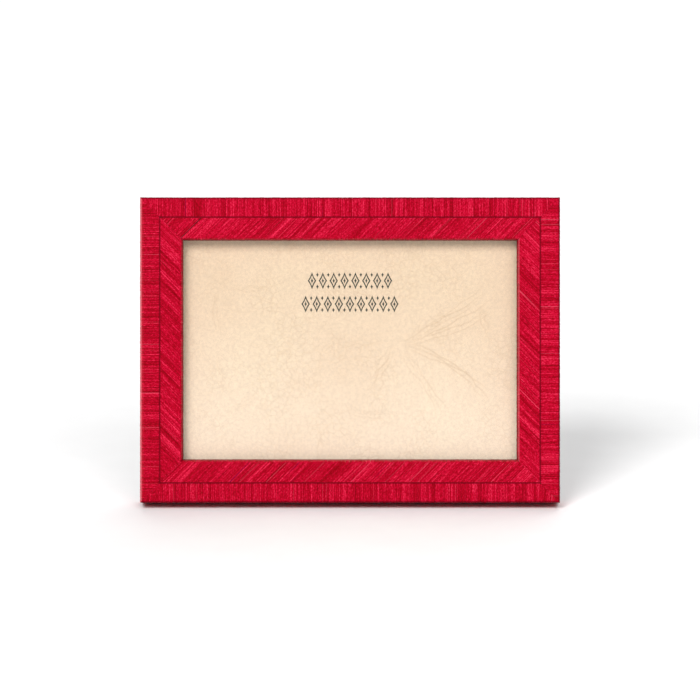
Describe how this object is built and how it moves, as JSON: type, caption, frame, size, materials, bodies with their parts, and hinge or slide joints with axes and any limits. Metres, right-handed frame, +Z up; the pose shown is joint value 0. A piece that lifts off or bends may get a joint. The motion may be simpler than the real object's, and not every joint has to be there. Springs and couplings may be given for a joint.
{
  "type": "framed plaque stand",
  "caption": "Small standing frame: mitred wooden rails faced with red straw marquetry round a glazed window with a cream card, on a folding strut.",
  "frame": {"origin": "on the surface it stands on, under the middle of the whole frame's box: midway between the sides, and midway between the face's bottom edge and the back of the strut's foot", "axes": "+X across the width, to the viewer's right; +Y from the face to the strut; +Z up. The face looks towards -Y and leans back 14 degrees"},
  "size_m": [0.183, 0.0663, 0.1324],
  "materials": {
    "rail_wood": "fine-grained hardwood stained dark oxblood, satin, bare where it is cut",
    "border_straw": "split rye straw dyed crimson, crossbanded, polished to a silky satin",
    "inner_straw": "split rye straw dyed crimson, laid on the slant, polished to a silky satin",
    "dark_line": "thin stringing dyed dark wine red, satin",
    "steel": "bright rolled strip steel",
    "glass": "clear 2 mm float glass with seamed edges",
    "insert_card": "cream parchment-grain card with fine creases, matt",
    "grey_board": "grey pulp filler board, matt",
    "backing_board": "thin brown fibreboard, matt",
    "suede_lining": "short-napped suede cloth, charcoal brown",
    "brass": "lacquered brass, lightly brushed",
    "ribbon": "ribbed grosgrain ribbon, charcoal brown"
  },
  "bodies": {
    "frame": {"rail_top": "rail_wood", "border_straw_top": "border_straw", "dark_line_top": "dark_line", "inner_straw_top": "inner_straw", "edge_straw_top": "border_straw", "sight_straw_top": "inner_straw", "rail_bottom": "rail_wood", "border_straw_bottom": "border_straw", "dark_line_bottom": "dark_line", "inner_straw_bottom": "inner_straw", "edge_straw_bottom": "border_straw", "sight_straw_bottom": "inner_straw", "rail_left": "rail_wood", "border_straw_left": "border_straw", "dark_line_left": "dark_line", "inner_straw_left": "inner_straw", "edge_straw_left": "border_straw", "sight_straw_left": "inner_straw", "rail_right": "rail_wood", "border_straw_right": "border_straw", "dark_line_right": "dark_line", "inner_straw_right": "inner_straw", "edge_straw_right": "border_straw", "sight_straw_right": "inner_straw", "corner_v_nails": "steel", "glass_pane": "glass", "insert_card": "insert_card", "filler_board": "grey_board", "backing_board": "backing_board", "board_lining": "suede_lining", "turn_button_screws": "brass", "hinge_leaf_board": "brass", "hinge_pin": "brass", "board_rivets": "brass", "ribbon_stay": "ribbon"},
    "strut": {"strut_board": "backing_board", "strut_front_lining": "suede_lining", "strut_back_lining": "suede_lining", "hinge_leaf_strut": "brass", "strut_rivets": "brass"},
    "button_top_left": {"turn_button_top_left": "brass"},
    "button_top_right": {"turn_button_top_right": "brass"},
    "button_bottom_left": {"turn_button_bottom_left": "brass"},
    "button_bottom_right": {"turn_button_bottom_right": "brass"}
  },
  "joints": [
    {"name": "strut_fold", "type": "hinge", "parent": "frame", "child": "strut", "pos_m": [0, 0.00858, 0.10427], "axis": [-1, 0, 0], "range_deg": [0, 26.6], "deforming": ["ribbon_stay"]},
    {"name": "button_top_left_turn", "type": "hinge", "parent": "frame", "child": "button_top_left", "pos_m": [-0.05, 0.01099, 0.12037], "axis": [0, 0.9703, -0.2419], "continuous": true},
    {"name": "button_top_right_turn", "type": "hinge", "parent": "frame", "child": "button_top_right", "pos_m": [0.05, 0.01099, 0.12037], "axis": [0, 0.9703, -0.2419], "continuous": true},
    {"name": "button_bottom_left_turn", "type": "hinge", "parent": "frame", "child": "button_bottom_left", "pos_m": [-0.05, -0.01692, 0.00839], "axis": [0, 0.9703, -0.2419], "continuous": true},
    {"name": "button_bottom_right_turn", "type": "hinge", "parent": "frame", "child": "button_bottom_right", "pos_m": [0.05, -0.01692, 0.00839], "axis": [0, 0.9703, -0.2419], "continuous": true}
  ]
}
